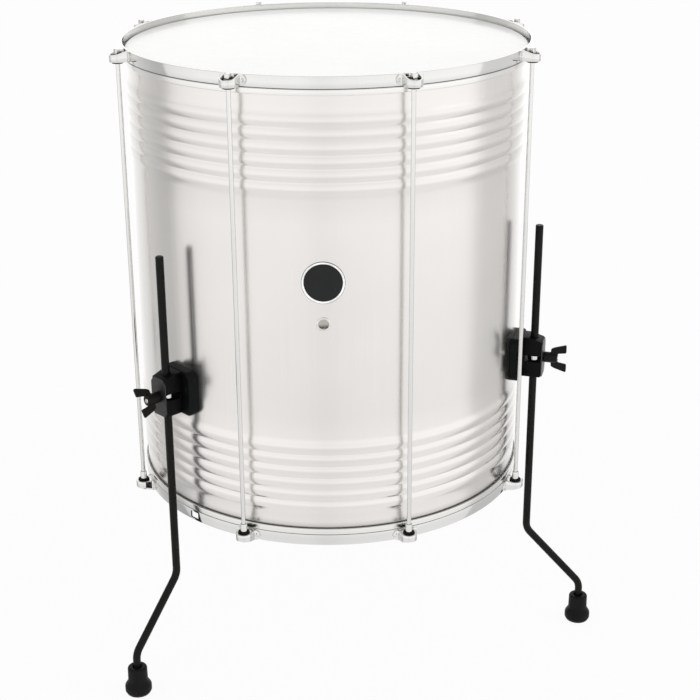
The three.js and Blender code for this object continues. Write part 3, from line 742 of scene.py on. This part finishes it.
rod_bar = spun([(0, rod_low.z), (rod_radius - 0.5 * mm, rod_low.z), (rod_radius, rod_low.z + 0.6 * mm)] + [
    (rod_radius, rod_low.z + (collar_low - rod_low.z) * i / 6) for i in range(1, 7)] + [
    (collar_radius - 0.3 * mm, collar_low), (collar_radius, collar_low + 0.3 * mm),
    (collar_radius, collar_high - 0.5 * mm), (collar_radius - 0.5 * mm, collar_high), (0, collar_high)], 24)
key_line = rounded(-key_half, key_half, key_half, key_ease, 3)
key_head = plate([key_line], collar_high - 0.3 * mm, rod_high.z, key_ease)
for i, key_turn in enumerate(key_turns, 1):
    place = station(45 * i - 22.5, rod_circle) @ Matrix.Rotation(radians(key_turn), 4, "Z")
    rod = made(f"key_rod_{i}", [(rod_bar, place), (key_head, place)])
    put_on(rod, chrome, "chrome", f"tension_rod_{i}", f"tension_rod_{i}")


# Nuts: chromed barrels that stand up through the bottom bushes, where the ears are turned over. Each is
# flanged underneath, so that the rod can pull it up against its bush, and threaded for the rod.
nut_low, nut_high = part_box("rod_nut_1")
barrel, flange, flange_top, thread = 4.2 * mm, 6.2 * mm, nut_low.z + 2.2 * mm, 2.95 * mm
nut = spun(eased([
    (0, nut_low.z, 0), (flange, nut_low.z), (flange, flange_top), (barrel, flange_top, 0),
    (barrel, nut_high.z, 0.7 * mm), (thread + 0.35 * mm, nut_high.z, 0.2 * mm),
    (thread, nut_high.z - 0.6 * mm, 0), (thread, nut_low.z + 1.6 * mm, 0), (0, nut_low.z + 1.6 * mm, 0)],
    0.4 * mm, 3), 40)
nuts = ring_of_eight("rod_nuts", chrome, [(nut, Matrix.Translation((rod_circle, 0, 0)))])
put_on(nuts, chrome, "chrome", "bottom_rim", *(f"rod_nut_{i}" for i in range(1, 9)))


# Bracket blocks: moulded in black plastic with rounded edges, and curved at the back to lie against the
# shell. Two bolts from inside the shell hold each one, and only their heads show, inside.
block_wide, block_high, block_deep, block_face = 56 * mm, 58 * mm, 20 * mm, 262.9 * mm
bolt_head, bolt_radius = 6 * mm, 3 * mm
bolt_back, head_front, bolt_end = -15.9 * mm, -13.3 * mm, -4 * mm
moulding = sprayed("black_moulding", (0.0035, 0.0045, 0.0045), 0.4, 1100.0, 0.03 * mm, 0.3, 1.25)
block_line = rounded(-block_wide / 2, block_wide / 2, block_high / 2, 9 * mm, 8)
block = plate([block_line], -block_deep, 0, 3.4 * mm, 5)
shell_space = pin(shell_radius + 0.3 * mm, 0.3, 0.5, 192)
fixing_bolt = spun([
    (0, bolt_back), (bolt_head - 0.8 * mm, bolt_back), (bolt_head, bolt_back + 0.8 * mm),
    (bolt_head, head_front), (bolt_radius, head_front), (bolt_radius, bolt_end), (0, bolt_end)], 24)
for i, angle in enumerate(leg_angles, 1):
    curved = cut_out(shown("block", moulded([(block, outwards(angle, clamp_level, block_face))])),
                     [[(shell_space, to_axis)]], 30)
    base = made(f"bracket_block_{i}", [(taken_up(curved), Matrix())] + [
        (fixing_bolt, outwards(angle, level, block_face)) for level in fixing_levels], 30)
    put_on(base, moulding, "black_plastic", "drum", f"bracket_base_{i}")


# Clamp housings: black castings on the blocks' faces, bored for the leg, with a window at mid height for the
# eye of the clamp bolt. Each has a wider eight-sided plate cast on its front, glossier and painted a little
# paler as a painted sheen.
housing_back, housing_face, plate_back, body_face = 263.2 * mm, 290 * mm, 288.4 * mm, 288.7 * mm
housing_low, housing_high, housing_half, body_half = -25 * mm, 29 * mm, 14 * mm, 13 * mm
front_high, shoulder = housing_high * 0.83, housing_back + 9.1 * mm
leg_circle, leg_radius = 277.3 * mm, 5 * mm
window_in, window_out, window_half = leg_circle - 11.5 * mm, leg_circle + 11.2 * mm, 4.5 * mm
corner, high_corner, sheen_from = 5 * mm, 6 * mm, 288.9 * mm
casting = sprayed("black_casting", (0.003, 0.003, 0.003), 0.4, 700.0, 0.04 * mm, 0.25, 1.25)
front_sheen = sprayed("black_casting_painted_sheen", (0.012, 0.012, 0.0115), 0.4, 700.0, 0.04 * mm, 0.55)
side_line = eased([
    (housing_back, housing_low), (body_face, housing_low, 2 * mm), (body_face, front_high - 0.5 * mm, 2 * mm),
    (shoulder, housing_high, 2 * mm), (housing_back, housing_high)], 1.2 * mm, 5)
housing_side = plate([side_line], -body_half, body_half, 1 * mm)
front_line = eased([
    (-housing_half, housing_low + corner), (-housing_half + corner, housing_low),
    (housing_half - corner, housing_low), (housing_half, housing_low + corner),
    (housing_half, front_high - high_corner), (housing_half - corner, front_high),
    (-housing_half + corner, front_high), (-housing_half, front_high - high_corner)], 1.2 * mm)
front_plate = plate([front_line, circle(3.5 * mm)], plate_back, housing_face, 0.5 * mm)
leg_bore = pin(leg_radius + 0.35 * mm, -50 * mm, 50 * mm, 48)
window = plate([rounded(window_in, window_out, window_half, 2.5 * mm, 5)], -20 * mm, 20 * mm, 0.05 * mm, 0)
stud_bore = pin(3.35 * mm, 0, 30 * mm, 24)
upright, lengthwise = Matrix.Rotation(pi / 2, 4, "X"), Matrix.Rotation(pi / 2, 4, "Y")
for i, angle in enumerate(leg_angles, 1):
    at_clamp, at_leg = station(angle, 0, clamp_level), station(angle, leg_circle, clamp_level)
    body = cut_out(shown("housing", moulded([(housing_side, at_clamp @ upright)])), [
        [(leg_bore, at_leg)], [(window, at_clamp @ upright)], [(stud_bore, at_leg @ lengthwise)]], 30)
    on_front = outwards(angle, clamp_level)
    housing = made(f"clamp_casting_{i}", [(taken_up(body), Matrix()), (front_plate, on_front)], 30)
    put_on(housing, casting, "black_paint", "drum", f"clamp_housing_{i}")
    from_front = on_front.inverted()
    # Painted sheen: the outward faces of the front plate take the paler, glossier black
    second_coat(housing, front_sheen, lambda middle, way: (from_front @ middle).z > sheen_from)


# Legs: 10 mm round bar, straight in the clamp and bent out and down again to the foot, in black powder coat.
# Each is turned a little about its clamp, as it was set up.
leg_top, knee, ankle, leg_end = clamp_level + 178 * mm, 140.6 * mm, 57 * mm, 8 * mm
leg_reach, leg_bend, leg_sides = 76 * mm, 22 * mm, 24
leg_swivels = [5, 12, 8]
coat = sprayed("black_powder_coat", (0.006, 0.0057, 0.005), 0.34, 800.0, 0.04 * mm, 0.3, 1.3)


def leg_solid():
    """The bar along its bent line, in the plane of X and Z, with its ends eased."""
    corners = [Vector(at) for at in ((0, leg_top), (0, knee), (leg_reach, ankle), (leg_reach, leg_end))]
    line = [corners[0].lerp(corners[1], 0.5)]
    for before, corner, after in zip(corners, corners[1:], corners[2:]):
        into, on = (before - corner).normalized(), (after - corner).normalized()
        half = into.angle(on) / 2
        centre = corner + (into + on).normalized() * (leg_bend / sin(half))
        start, end = (corner + way * (leg_bend / tan(half)) - centre for way in (into, on))
        line += [centre + start.lerp(end, s / 14).normalized() * leg_bend for s in range(15)]
    top, end = corners[0], corners[-1]
    spine = [(top, 0.0), (top, 0.55), (top, 0.85), (top - Vector((0, 0.6 * mm)), 0.97)]
    spine += [(spot, 1.0) for spot in [top - Vector((0, 1.5 * mm))] + line]
    spine += [(end + Vector((0, 0.5 * mm)), 1.0), (end, 0.9), (end, 0.0)]
    solid, rings = bmesh.new(), []
    for i, (spot, share) in enumerate(spine):
        if share == 0:
            rings.append([solid.verts.new((spot.x, 0, spot.y))] * leg_sides)
            continue
        way = spine[min(i + 1, len(spine) - 1)][0] - spine[max(i - 1, 0)][0]
        way = way.normalized() if way.length > 1e-9 else Vector((0, -1))
        radius, points = leg_radius * share, []
        for t in (2 * pi * k / leg_sides for k in range(leg_sides)):
            across = Vector((-way.y, way.x)) * (radius * cos(t))
            points.append(solid.verts.new((spot.x + across.x, radius * sin(t), spot.y + across.y)))
        rings.append(points)
    return skinned(solid, rings)


bar = leg_solid()
leg_places = [station(angle, leg_circle) @ Matrix.Rotation(radians(swivel), 4, "Z")
              for angle, swivel in zip(leg_angles, leg_swivels)]
for i, place in enumerate(leg_places, 1):
    put_on(made(f"bent_leg_{i}", [(bar, place)], 45), coat, "black_paint", f"leg_{i}", f"leg_{i}")


# Feet: moulded in black rubber, each with a neck that is pushed onto the end of the leg and grips it, and a
# wider sole, which flares out and is flat underneath.
sole_radius, neck_outer, foot_high = 17.1 * mm, 12.4 * mm, 38.5 * mm
socket_radius, socket_floor = 5.25 * mm, 7.5 * mm
rubber = sprayed("black_rubber", (0.0045, 0.0045, 0.0047), 0.48, 500.0, 0.06 * mm, 0.3, 1.3)
foot = spun(eased([
    (0, 0, 0), (15 * mm, 0, 1.2 * mm), (sole_radius, 4 * mm, 3 * mm), (sole_radius, 11 * mm, 3.5 * mm),
    (neck_outer + 0.3 * mm, 18.5 * mm, 5 * mm), (neck_outer, foot_high, 3.6 * mm),
    (6.4 * mm, foot_high, 1.2 * mm), (socket_radius, 35.5 * mm, 1 * mm), (socket_radius, socket_floor, 0),
    (0, socket_floor, 0)], 1 * mm, 6), 48)
to_foot = Matrix.Translation((leg_reach, 0, 0))
for i, place in enumerate(leg_places, 1):
    rubber_foot = made(f"rubber_foot_{i}", [(foot, place @ to_foot)], 45)
    put_on(rubber_foot, rubber, "rubber", f"leg_{i}", f"foot_{i}")


# Clamp bolts: a steel ring round the leg with a threaded stud out through the housing, chromed. The wing nut
# on the stud pulls the ring outwards, and that holds the leg.
eye_slack, eye_hole, eye_wall, eye_height = 1.2 * mm, 6.7 * mm, 2.8 * mm, 7 * mm
stud_radius, thread_root, thread_pitch, stud_end = 3 * mm, 2.6 * mm, 1 * mm, 309.3 * mm
stud_start = leg_circle + eye_slack + eye_hole + eye_wall / 2
thread_start = stud_start + 6 * mm
thread_count = int((stud_end - 1.2 * mm - thread_start) / thread_pitch)
eye_ring = spun(eased([(eye_hole, -eye_height / 2), (eye_hole + eye_wall, -eye_height / 2),
                       (eye_hole + eye_wall, eye_height / 2), (eye_hole, eye_height / 2)], 1.3 * mm, 5), 48)
stud_line = [(0, stud_start), (stud_radius, stud_start), (stud_radius, thread_start)]
for start in (thread_start + k * thread_pitch for k in range(thread_count)):
    stud_line += [(thread_root, start + 0.3 * mm), (stud_radius, start + 0.8 * mm)]
stud_line += [(stud_radius, stud_end - 0.8 * mm), (stud_radius - 0.7 * mm, stud_end), (0, stud_end)]
stud = spun(stud_line, 24)
for i, angle in enumerate(leg_angles, 1):
    clamp_bolt = made(f"clamp_bolt_{i}", [(eye_ring, station(angle, leg_circle + eye_slack, clamp_level)),
                                          (stud, station(angle, 0, clamp_level) @ lengthwise)], 40)
    put_on(clamp_bolt, chrome, "chrome", f"eye_bolt_{i}", f"eye_bolt_{i}")


# Wing nuts: cast with a round boss and two flat wings that rise past its end, in the same black powder coat
# as the legs. The casting's corners are all soft, and each nut stopped at its own angle.
boss_start, boss_length, boss_radius = 290.3 * mm, 18 * mm, 7 * mm
wing_thick, wing_tip, wing_end = 4.5 * mm, 19.6 * mm, boss_length + 11.4 * mm
wing_turns = [33, 5, 50]
boss = spun(eased([(3.3 * mm, 0), (boss_radius, 0), (boss_radius, boss_length), (3.3 * mm, boss_length)],
                  1 * mm, 4), 40)
wing = plate([eased([
    (9 * mm, 3.4 * mm, 0), (9.4 * mm, wing_tip * 0.62, 2 * mm), (13.5 * mm, wing_tip * 0.74, 5 * mm),
    (wing_end, wing_tip, 1.6 * mm), (wing_end, wing_tip * 0.42, 1.6 * mm),
    (boss_length, boss_radius - 0.6 * mm, 2.5 * mm), (boss_length - 0.5 * mm, 3.4 * mm, 0)], 1 * mm, 6)],
    -wing_thick / 2, wing_thick / 2, 1.1 * mm, 4)
for i, (angle, wing_turn) in enumerate(zip(leg_angles, wing_turns), 1):
    at_boss = station(angle, boss_start, clamp_level) @ Matrix.Rotation(radians(wing_turn), 4, "X")
    wing_nut = shown(f"wing_nut_cast_{i}", moulded([
        (boss, at_boss @ lengthwise), (wing, at_boss @ upright),
        (wing, at_boss @ Matrix.Rotation(pi, 4, "X") @ upright)]))
    cast = wing_nut.modifiers.new("cast", "REMESH")
    cast.mode, cast.voxel_size, cast.adaptivity = "VOXEL", 0.55 * mm, 0
    ease = wing_nut.modifiers.new("ease", "SMOOTH")
    ease.factor, ease.iterations = 0.5, 4
    put_on(settled(wing_nut, 60), coat, "black_paint", f"wing_nut_{i}", f"wing_nut_{i}")


# Studio: a pale floor that keeps a soft shadow, a white surround with two greyer stretches behind the drum
# that the bright metal mirrors at its sides, and one large soft lamp over the front. The camera sees the
# floor and the surround nearly white, and glossy metal sees the surround through the floor.
floor_half, floor_level, floor_white = 6, -0.4 * mm, 0.92
floor_mesh = bpy.data.meshes.new("floor")
floor_corners = [(x * floor_half, y * floor_half, 0) for x, y in ((-1, -1), (1, -1), (1, 1), (-1, 1))]
floor_mesh.from_pydata(floor_corners, [], [(0, 1, 2, 3)])
floor = shown("studio_floor", floor_mesh)
floor.location.z = floor_level
paper = bpy.data.materials.new("floor_paper")
paper.use_nodes = True
tree = paper.node_tree
tree.nodes.clear()
path = step(tree, "ShaderNodeLightPath").outputs
matt = step(tree, "ShaderNodeBsdfDiffuse", (0.93, 0.93, 0.93, 1)).outputs[0]
white = step(tree, "ShaderNodeEmission", (1, 1, 1, 1), 1.0).outputs[0]
seen = step(tree, "ShaderNodeMixShader", floor_white, matt, white).outputs[0]
clear = step(tree, "ShaderNodeBsdfTransparent").outputs[0]
for_glossy = step(tree, "ShaderNodeMixShader", path["Is Glossy Ray"], matt, clear).outputs[0]
for_camera = step(tree, "ShaderNodeMixShader", path["Is Camera Ray"], for_glossy, seen).outputs[0]
step(tree, "ShaderNodeOutputMaterial", for_camera)
floor_mesh.materials.append(paper)

world = bpy.data.worlds.new("studio")
bpy.context.scene.world = world
world.use_nodes = True
tree = world.node_tree
tree.nodes.clear()
way = split(tree, step(tree, "ShaderNodeTexCoord").outputs["Generated"])
bearing = figure(tree, "ARCTAN2", way[0], figure(tree, "MULTIPLY", way[1], -1.0))
round_the_drum = step(tree, "ShaderNodeValToRGB", figure(tree, "MULTIPLY_ADD", bearing, 0.5 / pi, 0.5))
up_and_down = step(tree, "ShaderNodeValToRGB", figure(
    tree, "MULTIPLY_ADD", figure(tree, "ARCSINE", way[2]), 1 / pi, 0.5))


def set_ramp(node, span, stops):
    """Gives a colour ramp its grey levels at angles in degrees, across a span of 180 or 360."""
    ramp = node.color_ramp
    while len(ramp.elements) > 1:
        ramp.elements.remove(ramp.elements[-1])
    for i, (angle, value) in enumerate(stops):
        stop = ramp.elements[0] if i == 0 else ramp.elements.new(0.5 + angle / span)
        stop.position, stop.color = 0.5 + angle / span, (value, value, value, 1)


set_ramp(round_the_drum, 360, [
    (-180, 1.25), (-162, 1.24), (-150, 0.97), (-136, 0.86), (-127, 0.67), (-116, 0.59), (-106, 0.51),
    (-98, 0.5), (-96.5, 0.82), (-88, 0.89), (-70, 0.97), (-45, 1.0), (-12, 0.985), (-3, 0.92), (2, 0.93),
    (8, 0.97), (25, 1.0), (60, 1.03), (86, 1.03), (93.5, 0.99), (95, 0.73), (104, 0.7), (128, 0.69),
    (136, 0.75), (146, 1.0), (160, 1.24), (180, 1.25)])
set_ramp(up_and_down, 180, [
    (-90, 0.94), (-60, 1.0), (-42, 0.99), (-27, 0.965), (-18, 1.06), (-13, 1.2), (0, 1.15), (22, 1.03),
    (36, 0.96), (52, 0.82), (66, 0.7), (90, 0.7)])
side_panel = figure(tree, "MULTIPLY", between(tree, bearing, 0.8, 1.15, 0.0, 0.2),
                    between(tree, bearing, 1.57, 1.68, 1.0, 0.0))
above = figure(tree, "MULTIPLY", between(tree, way[2], 0.02, 0.25, 0.0, 1.0),
               between(tree, way[2], 0.5, 0.7, 1.0, 0.0))
glow = figure(tree, "MULTIPLY", round_the_drum.outputs["Color"], up_and_down.outputs["Color"])
glow = figure(tree, "MULTIPLY_ADD", side_panel, above, glow)
surround = step(tree, "ShaderNodeBackground", (1, 1, 1, 1), glow).outputs[0]
backdrop = step(tree, "ShaderNodeBackground", (1, 1, 1, 1), 1.0).outputs[0]
path = step(tree, "ShaderNodeLightPath").outputs
shown_world = step(tree, "ShaderNodeMixShader", path["Is Camera Ray"], surround, backdrop).outputs[0]
step(tree, "ShaderNodeOutputWorld", shown_world)

lamp = bpy.data.lights.new("softbox", "AREA")
lamp.shape, lamp.size, lamp.size_y, lamp.energy = "RECTANGLE", 2.4, 1.6, 2
softbox = shown("softbox", lamp)
softbox.location = (-1.6, -2.0, 2.6)
softbox.rotation_euler = (Vector((0, 0, 0.5)) - softbox.location).to_track_quat("-Z", "Y").to_euler()


# Camera: where the photograph was taken from, found from the ellipses of its hoops. Its place is measured
# from the drum's axis and the floor, and its lens from a focal length in the photograph's own pixels.
photo_width, photo_focal, sensor = 700, 1489.96, 36
yaw, pitch, roll = radians(-0.8), radians(22.05), radians(-0.29)
eye = drum_axis + Vector((0.0532, -1.8738, 1.1326))
lens = bpy.data.cameras.new("camera")
lens.lens, lens.sensor_width = sensor * photo_focal / photo_width, sensor
camera = shown("camera", lens)
forward = Vector((sin(yaw) * cos(pitch), cos(yaw) * cos(pitch), -sin(pitch)))
right = Vector((cos(yaw), -sin(yaw), 0))
up = right.cross(forward)
right, up = right * cos(roll) + up * sin(roll), up * cos(roll) - right * sin(roll)
camera.matrix_world = Matrix(((right.x, up.x, -forward.x, eye.x), (right.y, up.y, -forward.y, eye.y),
                              (right.z, up.z, -forward.z, eye.z), (0, 0, 0, 1)))
bpy.context.scene.camera = camera
bpy.context.scene.view_settings.view_transform = "Standard"
